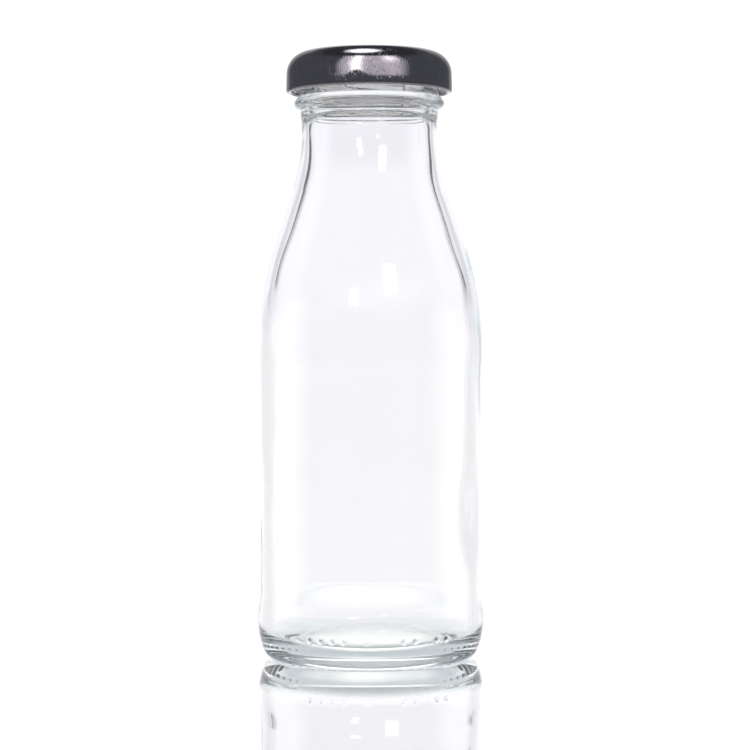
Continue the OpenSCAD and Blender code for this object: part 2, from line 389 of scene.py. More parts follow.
def wave_share(z):
    """The inside is uneven where it was blown, and true where the mould's plunger pressed it."""
    start = smooth((z - WAVE_START_Z) / WAVE_START_SOFT)
    end = smooth((z - WAVE_END_Z) / WAVE_END_SOFT)
    return float(start * (1 - end * WAVE_END_SHARE))


def make_glass(material, stippled):
    """The bottle. The push-up's faces have the second material."""
    rings = []
    for r, z, n, kind in outer_rows():
        if kind == "knurl":
            rings.append(ring_of(r, lambda t, r=r, z=z: np.maximum(z, knurl_lift(t, r)), n))
        elif kind == "dots":
            rings.append(ring_of(lambda t, r=r, z=z: r + dot_bulge(t, r, z), z, n))
        elif kind == "thread":
            rings.append(ring_of(lambda t, r=r, z=z: r + thread_bulge(t, z), z, n))
        else:
            rings.append(ring_of(r, z, n))
    for r, z in inner_rows():
        share = wave_share(z) * min(1.0, r / WAVE_FULL_R)
        rings.append(ring_of(lambda t, r=r, z=z, s=share: r + s * inner_wave(t, z), z, COARSE))
    verts, faces = skin_rings(rings, (0, 0, PUSHUP_Z), (0, 0, FLOOR_Z))
    glass = new_object("bottle_glass", verts, faces, [material, stippled])
    for polygon in glass.data.polygons:
        polygon.material_index = int(min(polygon.vertices) < PUSHUP_ROWS * COARSE)
    return glass


# ---------------------------------------------------------------- cap
def lug_share(theta):
    """1 in the middle of a lug, 0 where the curl is round."""
    pitch = 360 / LUGS
    share = np.zeros_like(theta)
    for i in range(LUGS):
        turn = np.abs(np.degrees(turn_between(theta, LUG_AZ + i * pitch)))
        share = np.maximum(share, 1 - smooth((turn - LUG_HALF_AZ) / LUG_FADE_AZ))
    return share


def cap_section():
    """(r, z) along the outside of the cap, from the panel's middle down the skirt to the curl."""
    rise_in, top_in, top_out, fall_out = PANEL_BEAD
    flat_in, flat_out = PANEL_FLAT
    top = line(flat_in, PANEL_Z, flat_out, PANEL_Z, 6)
    top += step(rise_in, PANEL_Z, top_in, PANEL_Z + PANEL_BEAD_H, 4)
    top += step(top_out, PANEL_Z + PANEL_BEAD_H, fall_out, PANEL_Z, 4)
    top += step(SLOPE_IN_R, PANEL_Z, SLOPE_OUT_R, CAP_TOP - 0.03, 12)
    top += arc(CROWN_X, CAP_TOP - CROWN_R, CROWN_R, 100, 92, 3)
    low = CAP_BOTTOM + CURL_R
    lean = 2 * SKIRT_DRAFT / (EDGE_Z - low)
    top += arc(EDGE_X, EDGE_Z, CAP_EDGE_R, 90, math.degrees(lean), 22)
    down = np.linspace(0.06, 0.94, 8)
    top += [(CAP_R - SKIRT_DRAFT * (1 - t) ** 2, EDGE_Z + (low - EDGE_Z) * t) for t in down]
    return top


def make_cap(outside, inside):
    """The pressed sheet: its outside, the curl with its lugs, and its inside, TIN_T further in."""
    theta = 2 * np.pi * np.arange(COARSE) / COARSE
    reach = (CAP_R - CURL_R - LUG_IN_R) / CURL_R
    stretch = 1 + (reach - 1) * lug_share(theta)
    centre_x, centre_z = CAP_R - CURL_R, CAP_BOTTOM + CURL_R

    def roll(radius, a0, a1, n):
        """Rings of the curl. Its inner half is drawn out into the lugs."""
        made = []
        for angle in np.radians(np.linspace(a0, a1, n + 1)):
            c, s = math.cos(angle), math.sin(angle)
            inward = radius * max(-c, 0.0) * stretch
            r = centre_x + radius * max(c, 0.0) - inward
            height = np.full(COARSE, centre_z + radius * s)
            made.append(np.stack([r * np.cos(theta), r * np.sin(theta), height], 1))
        return made

    section = cap_section()
    outer = [ring_of(r, z, COARSE) for r, z in section]
    outer += roll(CURL_R, 0, CURL_END, CURL_STEPS)
    inner = roll(CURL_R - TIN_T, CURL_END, 0, CURL_STEPS)
    tangents = np.gradient(np.array(section), axis=0)
    normals = np.stack([tangents[:, 1], -tangents[:, 0]], 1)
    normals /= np.linalg.norm(normals, axis=1)[:, None]
    inset = [(max(r + n[0] * TIN_T, 0.3), z + n[1] * TIN_T) for (r, z), n in zip(section, normals)]
    inner += [ring_of(r, z, COARSE) for r, z in inset[::-1]]
    verts, faces = skin_rings(outer + inner, (0, 0, PANEL_Z), (0, 0, PANEL_Z - TIN_T))
    cap = new_object("cap_tinplate", verts, faces, [outside, inside])
    first_inner = 1 + len(outer) * COARSE
    for polygon in cap.data.polygons:
        polygon.material_index = int(min(polygon.vertices) >= first_inner)
    return cap


def make_sealing_ring(material):
    """The ring of compound: against the cap above, with a lip outside the rim and a groove over it."""
    roof_r = CAP_EDGE_R - TIN_T - COMPOUND_GAP
    out_r, in_r = RING_HIGH.x, COMPOUND_IN_R
    end = math.degrees(math.acos((out_r - EDGE_X) / roof_r))
    low, roof_z = BOTTLE_H + RIM_GAP, EDGE_Z + roof_r
    lip_z = EDGE_Z + roof_r * math.sin(math.radians(end)) - COMPOUND_LIP
    points = line(in_r + 0.1, roof_z, EDGE_X, roof_z, 3)
    points += arc(EDGE_X, EDGE_Z, roof_r, 90, end, 14)[1:]
    points += arc(out_r - COMPOUND_LIP_R, lip_z + COMPOUND_LIP_R, COMPOUND_LIP_R, 0, -90, 4)
    points += line(out_r - 0.3, lip_z + 0.1, FINISH_R, low, 5)
    groove_in, top_in, top_out, groove_out = GROOVE
    points += step(groove_out, low, top_out, low + GROOVE_DEEP, 5)
    points += step(top_in, low + GROOVE_DEEP, groove_in, low, 5)
    points += arc(in_r + COMPOUND_ROUND_R, low + COMPOUND_ROUND_R, COMPOUND_ROUND_R, -90, -180, 5)
    points += line(in_r, low + 0.5, in_r, roof_z - 0.15, 3)
    rings = [ring_of(r, z, COARSE) for r, z in points]
    verts, faces = skin_rings(rings + rings[:1])
    count = len(rings) * COARSE
    faces = [tuple(v if v < count else v - count for v in face) for face in faces]
    return new_object("cap_sealing_ring", verts[:count], faces, [material])


# ---------------------------------------------------------------- shader helpers
def grey(level):
    """A colour with equal parts."""
    return (level, level, level, 1)


def node_material(name):
    """An empty material: the material, its node tree and its output node."""
    material = bpy.data.materials.new(name)
    material.use_nodes = True
    tree = material.node_tree
    tree.nodes.clear()
    return material, tree, tree.nodes.new("ShaderNodeOutputMaterial")


def new_material(name):
    """A material with one Principled shader."""
    material, tree, output = node_material(name)
    shader = tree.nodes.new("ShaderNodeBsdfPrincipled")
    tree.links.new(shader.outputs["BSDF"], output.inputs["Surface"])
    return material, tree, shader, output


def coordinates(tree, kind):
    """The X, Y and Z of a kind of texture coordinate."""
    place = tree.nodes.new("ShaderNodeTexCoord")
    split = tree.nodes.new("ShaderNodeSeparateXYZ")
    tree.links.new(place.outputs[kind], split.inputs[0])
    return split.outputs


def noise(tree, scale, detail=2.0, stretch=(1, 1, 1)):
    """Noise over the object's own coordinates. scale is in features per metre."""
    place = tree.nodes.new("ShaderNodeTexCoord")
    mapping = tree.nodes.new("ShaderNodeMapping")
    mapping.inputs["Scale"].default_value = stretch
    texture = tree.nodes.new("ShaderNodeTexNoise")
    texture.inputs["Scale"].default_value = scale
    texture.inputs["Detail"].default_value = detail
    tree.links.new(place.outputs["Object"], mapping.inputs["Vector"])
    tree.links.new(mapping.outputs["Vector"], texture.inputs["Vector"])
    return texture.outputs["Fac"]


def ramp(tree, source, stops):
    """A colour ramp over source. stops are (position, colour) pairs."""
    node = tree.nodes.new("ShaderNodeValToRGB")
    node.color_ramp.elements[0].position, node.color_ramp.elements[0].color = stops[0]
    node.color_ramp.elements[1].position, node.color_ramp.elements[1].color = stops[-1]
    for position, colour in stops[1:-1]:
        node.color_ramp.elements.new(position).color = colour
    tree.links.new(source, node.inputs["Fac"])
    return node.outputs["Color"]


def bump(tree, source, distance, strength, under=None):
    """A bumped normal, over another one if given. distance is in metres."""
    node = tree.nodes.new("ShaderNodeBump")
    node.inputs["Distance"].default_value = distance
    node.inputs["Strength"].default_value = strength
    tree.links.new(source, node.inputs["Height"])
    if under is not None:
        tree.links.new(under, node.inputs["Normal"])
    return node.outputs["Normal"]


def math_node(tree, operation, first, second=0.0, third=None):
    """A maths node. Each input is a number or another node's output."""
    node = tree.nodes.new("ShaderNodeMath")
    node.operation = operation
    for place, value in enumerate((first, second, third)):
        if value is None:
            continue
        if isinstance(value, (int, float)):
            node.inputs[place].default_value = value
        else:
            tree.links.new(value, node.inputs[place])
    return node.outputs[0]


def soft_edge(tree, inside_by, soft):
    """1 well inside, 0 outside, with a smooth edge soft wide."""
    node = tree.nodes.new("ShaderNodeMapRange")
    node.interpolation_type = "SMOOTHSTEP"
    node.inputs["From Max"].default_value = soft
    tree.links.new(inside_by, node.inputs["Value"])
    return node.outputs[0]


def squared(tree, value):
    return math_node(tree, "MULTIPLY", value, value)


def bell(tree, value, middle, width):
    """A smooth bump, 1 where value is at the middle."""
    off = math_node(tree, "DIVIDE", math_node(tree, "SUBTRACT", value, middle), width)
    return math_node(tree, "EXPONENT", math_node(tree, "MULTIPLY", squared(tree, off), -1.0))


# ---------------------------------------------------------------- materials
# Roughness of the push-up's underside
STIPPLE = 0.4


def glass_material(name, roughness):
    """Soda glass: faint streaks, slight unevenness, and a blue-green tint that grows with its depth."""
    material, tree, shader, output = new_material(name)
    shader.inputs["Transmission Weight"].default_value = 1.0
    shader.inputs["Roughness"].default_value = roughness
    shader.inputs["IOR"].default_value = 1.52
    streaks = noise(tree, 60, 3.0, (1, 1, 0.25))
    tint = ramp(tree, streaks, [(0.3, (0.985, 0.992, 0.995, 1)), (0.7, (0.995, 0.998, 1.0, 1))])
    tree.links.new(tint, shader.inputs["Base Color"])
    tree.links.new(bump(tree, noise(tree, 90, 2.0, (1, 1, 0.4)), 0.00005, 0.6), shader.inputs["Normal"])
    depth = tree.nodes.new("ShaderNodeVolumeAbsorption")
    depth.inputs["Color"].default_value = (0.33, 0.57, 0.6, 1)
    depth.inputs["Density"].default_value = 10.0
    tree.links.new(depth.outputs["Volume"], output.inputs["Volume"])
    return material


# Where the normal's Z is above this, the cap's surface counts as its panel
PANEL_NORMAL, PANEL_NORMAL_SOFT = 0.97, 0.1


def gunmetal_material():
    """The cap's outside: a dark metallic lacquer with fine handling marks."""
    material, tree, shader, _ = new_material("gunmetal_lacquer")
    shader.inputs["Metallic"].default_value = 1.0
    shader.inputs["Coat Weight"].default_value = 0.3
    shader.inputs["Coat Roughness"].default_value = 0.04
    mottle = noise(tree, 700, 3.0)
    colour = ramp(tree, mottle, [(0.3, (0.38, 0.37, 0.4, 1)), (0.7, (0.45, 0.44, 0.47, 1))])
    tree.links.new(colour, shader.inputs["Base Color"])
    streaks = noise(tree, 900, 2.0, (1, 1, 0.06))
    rough = ramp(tree, streaks, [(0.3, grey(0.035)), (0.75, grey(0.07))])
    tree.links.new(rough, shader.inputs["Roughness"])
    grain = bump(tree, noise(tree, 2600, 2.0), 0.000004, 0.25)
    # Handling marks run down the skirt, and there are none on the panel.
    normal = coordinates(tree, "Normal")
    upright = soft_edge(tree, math_node(tree, "SUBTRACT", PANEL_NORMAL, normal["Z"]), PANEL_NORMAL_SOFT)
    scratches = ramp(tree, noise(tree, 3200, 1.0, (1, 1, 0.12)), [(0.58, grey(0)), (0.68, grey(1))])
    worn = ramp(tree, noise(tree, 90, 2.0), [(0.42, grey(0)), (0.55, grey(1))])
    marks = math_node(tree, "MULTIPLY", math_node(tree, "MULTIPLY", scratches, worn), upright)
    scratched = bump(tree, marks, 0.00002, 0.6, grain)
    drawn = math_node(tree, "MULTIPLY", streaks, upright)
    tree.links.new(bump(tree, drawn, 0.00001, 0.15, scratched), shader.inputs["Normal"])
    return material


# The lacquer's colour times painted shade up the inside of the cap, by share of its height: painted shade on
# the curl, white skirt, a painted shadow line at the corner, a top greyed by painted shade
LACQUER_PAINTED_SHADE = [
    (0.0, (0.06, 0.06, 0.065, 1)),
    (0.14, (0.06, 0.06, 0.065, 1)),
    (0.2, grey(1)),
    (0.45, grey(1)),
    (0.5, (0.08, 0.08, 0.085, 1)),
    (0.57, (0.08, 0.08, 0.085, 1)),
    (0.66, (0.36, 0.36, 0.38, 1)),
    (1.0, (0.3, 0.3, 0.32, 1)),
]


def inner_lacquer_material():
    """The cap's inside: white lacquer, darkened by painted shade up its height."""
    material, tree, shader, _ = new_material("inner_lacquer")
    shader.inputs["Coat Weight"].default_value = 0.5
    shader.inputs["Coat Roughness"].default_value = 0.1
    colour = ramp(tree, noise(tree, 400, 3.0), [(0.3, (0.9, 0.89, 0.87, 1)), (0.7, (0.96, 0.955, 0.94, 1))])
    cap_height = CAP_TOP - CAP_BOTTOM
    metres_up = coordinates(tree, "Object")["Z"]
    share = math_node(tree, "MULTIPLY_ADD", metres_up, 1 / (cap_height * MM), -CAP_BOTTOM / cap_height)
    # Painted shade: dark on the curl, a painted shadow line at the corner, grey at the top
    painted_shade = ramp(tree, share, LACQUER_PAINTED_SHADE)
    shaded = tree.nodes.new("ShaderNodeMix")
    shaded.data_type, shaded.blend_type = "RGBA", "MULTIPLY"
    shaded.inputs[0].default_value = 1.0
    tree.links.new(colour, shaded.inputs[6])
    tree.links.new(painted_shade, shaded.inputs[7])
    tree.links.new(shaded.outputs[2], shader.inputs["Base Color"])
    rough = ramp(tree, noise(tree, 900), [(0.3, grey(0.28)), (0.7, grey(0.38))])
    tree.links.new(rough, shader.inputs["Roughness"])
    return material


def plastisol_material():
    """The sealing compound: soft, off-white and slightly waxy."""
    material, tree, shader, _ = new_material("plastisol")
    shader.inputs["Subsurface Weight"].default_value = 0.1
    shader.inputs["Subsurface Radius"].default_value = (0.0008, 0.0007, 0.0006)
    colour = ramp(tree, noise(tree, 500, 3.0), [(0.3, (0.7, 0.68, 0.62, 1)), (0.7, (0.78, 0.76, 0.7, 1))])
    tree.links.new(colour, shader.inputs["Base Color"])
    rough = ramp(tree, noise(tree, 1500), [(0.3, grey(0.45)), (0.7, grey(0.6))])
    tree.links.new(rough, shader.inputs["Roughness"])
    tree.links.new(bump(tree, noise(tree, 2500, 3.0), 0.00003, 0.4), shader.inputs["Normal"])
    return material


# ---------------------------------------------------------------- studio values, in metres and degrees
# Camera, fitted to the photo. FOCAL_PER_WIDTH is the focal length as a share of the sensor's width.
CAMERA_DISTANCE = 0.620
CAMERA_HEIGHT = 0.088
SENSOR_MM = 36
FOCAL_PER_WIDTH = 3.042
PITCH, YAW, ROLL = -1.055, -0.126, -0.16

# The lights stand round this point. The cap's middle is CAP_OVER_STAGE above it.
STAGE_CENTRE = Vector((0, 0, 0.082))
CAP_OVER_STAGE = 0.08

# Colours
NEUTRAL, LAVENDER, DIM_LAVENDER = (0.989, 0.964, 0.974, 1), (0.98, 0.946, 0.983, 1), (0.92, 0.888, 0.925, 1)
WARM = (1.0, 0.92, 0.96, 1)
ROOM_COLOUR, MATT_COLOUR = (0.85, 0.87, 1, 1), (1, 0.91, 0.93, 1)
PLAIN, FILL = [(0, NEUTRAL), (1, NEUTRAL)], [(0, WARM), (1, WARM)]
TOP_COLOURS = [(0, LAVENDER), (1, LAVENDER)]
ROOM_TINT = [(0, ROOM_COLOUR), (1, ROOM_COLOUR)]

# The room's brightness to the camera and to reflections
ROOM_WHITE, ROOM_LIGHT = 1.1, 0.06
# How much brighter the floor and the room are to matt surfaces
MATT_LIFT, ROOM_MATT_LIFT = 1.0, 10.0

# Floor: a sheet just under the base
FLOOR_RADIUS, FLOOR_SIDES, FLOOR_GAP = 0.6, 96, 0.00003
FLOOR_LEVEL = 2.0
# Painted light and shadow on the floor, from under the middle of the bottle out to SHADE_REACH, and how
# uneven its edges are
SHADE_REACH, SHADE_UNEVEN = 0.1, 0.004
# A painted pool of light under the push-up, a painted shadow round the heel, then painted shade that
# lightens out to the plain floor
FLOOR_LIGHT_AND_SHADE = [
    (0.0, (1, 0.97, 0.93, 1)),
    (0.18, (1, 0.97, 0.93, 1)),
    (0.25, (0.3, 0.32, 0.33, 1)),
    (0.31, (0.3, 0.32, 0.33, 1)),
    (0.35, (0.47, 0.485, 0.49, 1)),
    (0.75, (0.58, 0.57, 0.575, 1)),
]
# The sheet's mirror share, little when seen from above and high at a low angle
GLOSS_SHARE = [(0.7, grey(0.03)), (0.8, grey(0.88))]
# Straight at the camera, the sheet's gloss fades out from this far from the bottle
GLOSS_REACH, GLOSS_SOFT = 0.2, 0.14

# The ring of floor that only the cap reflects, clear of the bottle
CAP_FLOOR_HOLE, CAP_FLOOR_LIFT, CAP_FLOOR_SIDES = 0.034, 0.001, 48
CAP_FLOOR_LEVEL = 0.45

# Backdrop: a curved card from one side, round behind, to the other
BACKDROP_AWAY, BACKDROP_HALF = 0.6, 100
BACKDROP_LOW, BACKDROP_TOP = -0.5, 0.62


def share_at(azimuth):
    """Place along the backdrop's ramp of levels, 0 at its sides and 1 straight behind."""
    return 1 - azimuth / BACKDROP_HALF


def side_place(azimuth):
    """Distance of an azimuth from the nearer side of the backdrop, as a share of its width."""
    return share_at(azimuth) / 2


BACKDROP_COLOURS = [(0.43, NEUTRAL), (0.445, LAVENDER), (0.462, LAVENDER), (0.478, DIM_LAVENDER)]
LEVELS = [
    (share_at(100), grey(0.3)),
    (share_at(85), grey(0.7)),
    (share_at(75), grey(0.74)),
    (share_at(30), grey(0.76)),
    (share_at(20), grey(1.0)),
    (share_at(13), grey(1.0)),
    (share_at(0), grey(0.96)),
]
CAP_SHADE = [
    (share_at(37), grey(0.0)),
    (share_at(34), grey(0.1)),
    (share_at(15), grey(0.35)),
    (share_at(0), grey(0.9)),
]
# A black flag at each side of the backdrop, between these azimuths and above this share of its height
FLAG_INNER, FLAG_OUTER, FLAG_SOFT = 44, 54, 0.005
FLAG_FROM, FLAG_OVER = 0.5, 0.03

# The card whose reflection is the pale patch on the cap, seen from there between two elevations. Places and
# widths are shares of the card.
GLOW_AWAY = 1.0
GLOW_FROM, GLOW_TO = 7.6, 58
GLOW_BASE = 0.75
HUMP_U, HUMP_WIDTH, HUMP_HIGH = 0.724, 0.104, 0.026
# A brighter place: where across, how wide, how bright, and for the right one where up and how high
GLOW_LEFT = (0.733, 0.06, 3.0)
GLOW_RIGHT = (0.308, 0.09, 1.8, 0.5, 0.3)
# Soft edges: how far in the right one starts, then how soft the right, left, lower and upper ones are
GLOW_RIGHT_START, GLOW_RIGHT_SOFT, GLOW_LEFT_SOFT = 0.08, 0.17, 0.12
GLOW_LOW_SOFT, GLOW_TOP_SOFT = 0.006, 0.3

# Azimuth of the camera's side. Azimuth 0 is behind the bottle, and 90 is on the camera's right.
FRONT = 180
# Lamps in front, and the lamp over the cap
LAMP_AWAY = 0.9
LAMP_TOP_X, LAMP_TOP_Y, LAMP_TOP_Z = (-0.22, 0.13), (-0.23, 0.14), 0.7
LAMP_TOP_STRENGTH = 3.0

# The grid of faces in a light card
CARD_COLUMNS, CARD_ROWS = 24, 8

# How often light may bounce, or pass straight through a card
BOUNCES = 40


# ---------------------------------------------------------------- camera and room
def make_camera():
    """The camera, as fitted to the photo."""
    data = bpy.data.cameras.new("camera")
    data.sensor_width = SENSOR_MM
    data.lens = SENSOR_MM * FOCAL_PER_WIDTH
    camera = bpy.data.objects.new("camera", data)
    camera.location = (0, -CAMERA_DISTANCE, CAMERA_HEIGHT)
    turned = Euler((math.radians(90 + PITCH), 0, math.radians(YAW))).to_matrix()
    camera.rotation_euler = (turned @ Matrix.Rotation(math.radians(ROLL), 3, "Z")).to_euler()
    bpy.context.scene.collection.objects.link(camera)
    bpy.context.scene.camera = camera
    return camera


def make_world():
    """The room: white where the camera looks straight at it, dim where the bottle and cap reflect it."""
    world = bpy.data.worlds.new("studio")
    bpy.context.scene.world = world
    world.use_nodes = True
    tree = world.node_tree
    tree.nodes.clear()
    output = tree.nodes.new("ShaderNodeOutputWorld")
    path = tree.nodes.new("ShaderNodeLightPath")
    matt = math_node(tree, "MINIMUM", path.outputs["Diffuse Depth"], 1.0)
    room = tree.nodes.new("ShaderNodeBackground")
    tree.links.new(ramp(tree, matt, [(0, ROOM_COLOUR), (1, MATT_COLOUR)]), room.inputs["Color"])
    level = math_node(tree, "MULTIPLY_ADD", matt, ROOM_MATT_LIFT, ROOM_LIGHT)
    tree.links.new(level, room.inputs["Strength"])
    white = tree.nodes.new("ShaderNodeBackground")
    white.inputs["Color"].default_value = grey(1)
    white.inputs["Strength"].default_value = ROOM_WHITE
    mix = tree.nodes.new("ShaderNodeMixShader")
    tree.links.new(path.outputs["Is Camera Ray"], mix.inputs[0])
    tree.links.new(room.outputs[0], mix.inputs[1])
    tree.links.new(white.outputs[0], mix.inputs[2])
    tree.links.new(mix.outputs[0], output.inputs["Surface"])


# ---------------------------------------------------------------- light cards
def card_material(name, shape, colours, strength):
    """A glowing card that light also passes through.

    shape gives how much of it glows at (u, v), and colours is the ramp of its colour along v.
    """
    material, tree, output = node_material(name)
    place = coordinates(tree, "UV")
    emission = tree.nodes.new("ShaderNodeEmission")
    tree.links.new(ramp(tree, place["Y"], colours), emission.inputs["Color"])
    glow = math_node(tree, "MULTIPLY", shape(tree, place["X"], place["Y"]), strength)
    tree.links.new(glow, emission.inputs["Strength"])
    clear = tree.nodes.new("ShaderNodeBsdfTransparent")
    both = tree.nodes.new("ShaderNodeAddShader")
    tree.links.new(clear.outputs[0], both.inputs[0])
    tree.links.new(emission.outputs[0], both.inputs[1])
    tree.links.new(both.outputs[0], output.inputs["Surface"])
    return material


def rectangle(soft_u, soft_v):
    """The shape of a card that fades at its edges."""
    def shape(tree, u, v):
        across = math_node(tree, "PINGPONG", u, 0.5)
        along = math_node(tree, "PINGPONG", v, 0.5)
        return math_node(tree, "MULTIPLY", soft_edge(tree, across, soft_u), soft_edge(tree, along, soft_v))
    return shape


def disc(soft):
    """The shape of a round card that fades at its edge."""
    def shape(tree, u, v):
        off_u = math_node(tree, "SUBTRACT", u, 0.5)
        off_v = math_node(tree, "SUBTRACT", v, 0.5)
        away = math_node(tree, "SQRT", math_node(tree, "ADD", squared(tree, off_u), squared(tree, off_v)))
        return soft_edge(tree, math_node(tree, "SUBTRACT", 0.5, away), soft)
    return shape


def backdrop_shape(tree, u, v):
    """The backdrop: brightest nearly straight behind, dimmer towards its sides, where black flags stand."""
    across = math_node(tree, "PINGPONG", u, 0.5)
    level = ramp(tree, math_node(tree, "MULTIPLY", across, 2.0), LEVELS)
    outer = soft_edge(tree, math_node(tree, "SUBTRACT", across, side_place(FLAG_OUTER)), FLAG_SOFT)
    inner = soft_edge(tree, math_node(tree, "SUBTRACT", side_place(FLAG_INNER), across), FLAG_SOFT)
    upper = soft_edge(tree, math_node(tree, "SUBTRACT", v, FLAG_FROM), FLAG_OVER)
    flag = math_node(tree, "MULTIPLY", math_node(tree, "MULTIPLY", outer, inner), upper)
    return math_node(tree, "MULTIPLY", level, math_node(tree, "SUBTRACT", 1.0, flag))


def cap_backdrop_shape(tree, u, v):
    """The backdrop that only the cap reflects: brightest straight behind, and dark towards its sides."""
    return ramp(tree, math_node(tree, "MULTIPLY", math_node(tree, "PINGPONG", u, 0.5), 2.0), CAP_SHADE)


def cap_glow(tree, u, v):
    """What the cap reflects from the front: a wide card with two bright places and, below, a dark hump."""
    hump = math_node(tree, "MULTIPLY", bell(tree, u, HUMP_U, HUMP_WIDTH), HUMP_HIGH)
    over_hump = math_node(tree, "SUBTRACT", v, hump)
    left = math_node(tree, "MULTIPLY", bell(tree, u, *GLOW_LEFT[:2]), GLOW_LEFT[2])
    right = math_node(tree, "MULTIPLY", bell(tree, u, *GLOW_RIGHT[:2]), GLOW_RIGHT[2])
    right = math_node(tree, "MULTIPLY", right, bell(tree, v, *GLOW_RIGHT[3:]))
    level = math_node(tree, "ADD", math_node(tree, "ADD", left, right), GLOW_BASE)
    right_edge = soft_edge(tree, math_node(tree, "SUBTRACT", u, GLOW_RIGHT_START), GLOW_RIGHT_SOFT)
    left_edge = soft_edge(tree, math_node(tree, "SUBTRACT", 1.0, u), GLOW_LEFT_SOFT)
    across = math_node(tree, "MULTIPLY", right_edge, left_edge)
    edges = math_node(tree, "MULTIPLY", soft_edge(tree, over_hump, GLOW_LOW_SOFT), across)
    top = soft_edge(tree, math_node(tree, "SUBTRACT", 1.0, v), GLOW_TOP_SOFT)
    return math_node(tree, "MULTIPLY", math_node(tree, "MULTIPLY", edges, top), level)


def card_object(name, verts, faces, uvs, material):
    """A card that neither the camera nor a shadow shows. uvs has a place for each vertex."""
    mesh = bpy.data.meshes.new(name)
    mesh.from_pydata(verts, [], faces)
    layer = mesh.uv_layers.new(name="card")
    for loop in mesh.loops:
        layer.data[loop.index].uv = uvs[loop.vertex_index]
    mesh.materials.append(material)
    card = bpy.data.objects.new(name, mesh)
    bpy.context.scene.collection.objects.link(card)
    card.visible_camera = card.visible_shadow = False
    return card


def make_card(name, radius, azimuths, heights, material):
    """A light card, part of a cylinder round the stage's centre.

    Azimuths are in degrees, and heights are over the stage's centre.
    """
    verts, uvs, faces = [], [], []
    for j in range(CARD_ROWS + 1):
        for i in range(CARD_COLUMNS + 1):
            u, v = i / CARD_COLUMNS, j / CARD_ROWS
            angle = math.radians(azimuths[0] + (azimuths[1] - azimuths[0]) * u)
            z = heights[0] + (heights[1] - heights[0]) * v
            verts.append((radius * math.sin(angle), radius * math.cos(angle), STAGE_CENTRE.z + z))
            uvs.append((u, v))
    for j in range(CARD_ROWS):
        for i in range(CARD_COLUMNS):
            a = j * (CARD_COLUMNS + 1) + i
            faces.append((a, a + 1, a + CARD_COLUMNS + 2, a + CARD_COLUMNS + 1))
    card = card_object(name, verts, faces, uvs, material)
    return card


def make_top_lamp():
    """The lamp over the cap, which shines down."""
    (x0, x1), (y0, y1) = LAMP_TOP_X, LAMP_TOP_Y
    corners = [(x, y, LAMP_TOP_Z) for x, y in ((x0, y0), (x0, y1), (x1, y1), (x1, y0))]
    places = [(0, 0), (0, 1), (1, 1), (1, 0)]
    material = card_material("lamp_top", disc(0.3), PLAIN, LAMP_TOP_STRENGTH)
    lamp = card_object("lamp_top", corners, [(0, 1, 2, 3)], places, material)
    return lamp


def make_cap_floor():
    """The white sheet as the cap's curl reflects it, dimmer than the glass sees it."""
    turns = 2 * np.pi * np.arange(CAP_FLOOR_SIDES) / CAP_FLOOR_SIDES
    radii = (CAP_FLOOR_HOLE, FLOOR_RADIUS)
    verts = [(r * math.cos(t), r * math.sin(t), CAP_FLOOR_LIFT) for r in radii for t in turns]
    faces = join_rings(CAP_FLOOR_SIDES, CAP_FLOOR_SIDES, 0, CAP_FLOOR_SIDES)
    places = [(0.5 + x / (2 * FLOOR_RADIUS), 0.5 + y / (2 * FLOOR_RADIUS)) for x, y, _ in verts]
    material = card_material("cap_floor", disc(0.2), PLAIN, CAP_FLOOR_LEVEL)
    sheet = card_object("cap_floor", verts, faces, places, material)
    return sheet


def high(elevation, away):
    """Height over the stage's centre at which a card is seen at an elevation from the cap."""
    return CAP_OVER_STAGE + away * math.tan(math.radians(elevation))


def follow(obj, camera):
    """obj keeps its place as the camera sees it when the camera moves to another view."""
    bpy.context.view_layer.update()
    obj.parent = camera
    obj.matrix_parent_inverse = camera.matrix_world.inverted()


def light_only(name, objects, cards):
    """These cards light only these objects."""
    group = bpy.data.collections.new(name)
    for obj in objects:
        group.objects.link(obj)
    for card in cards:
        card.light_linking.receiver_collection = group


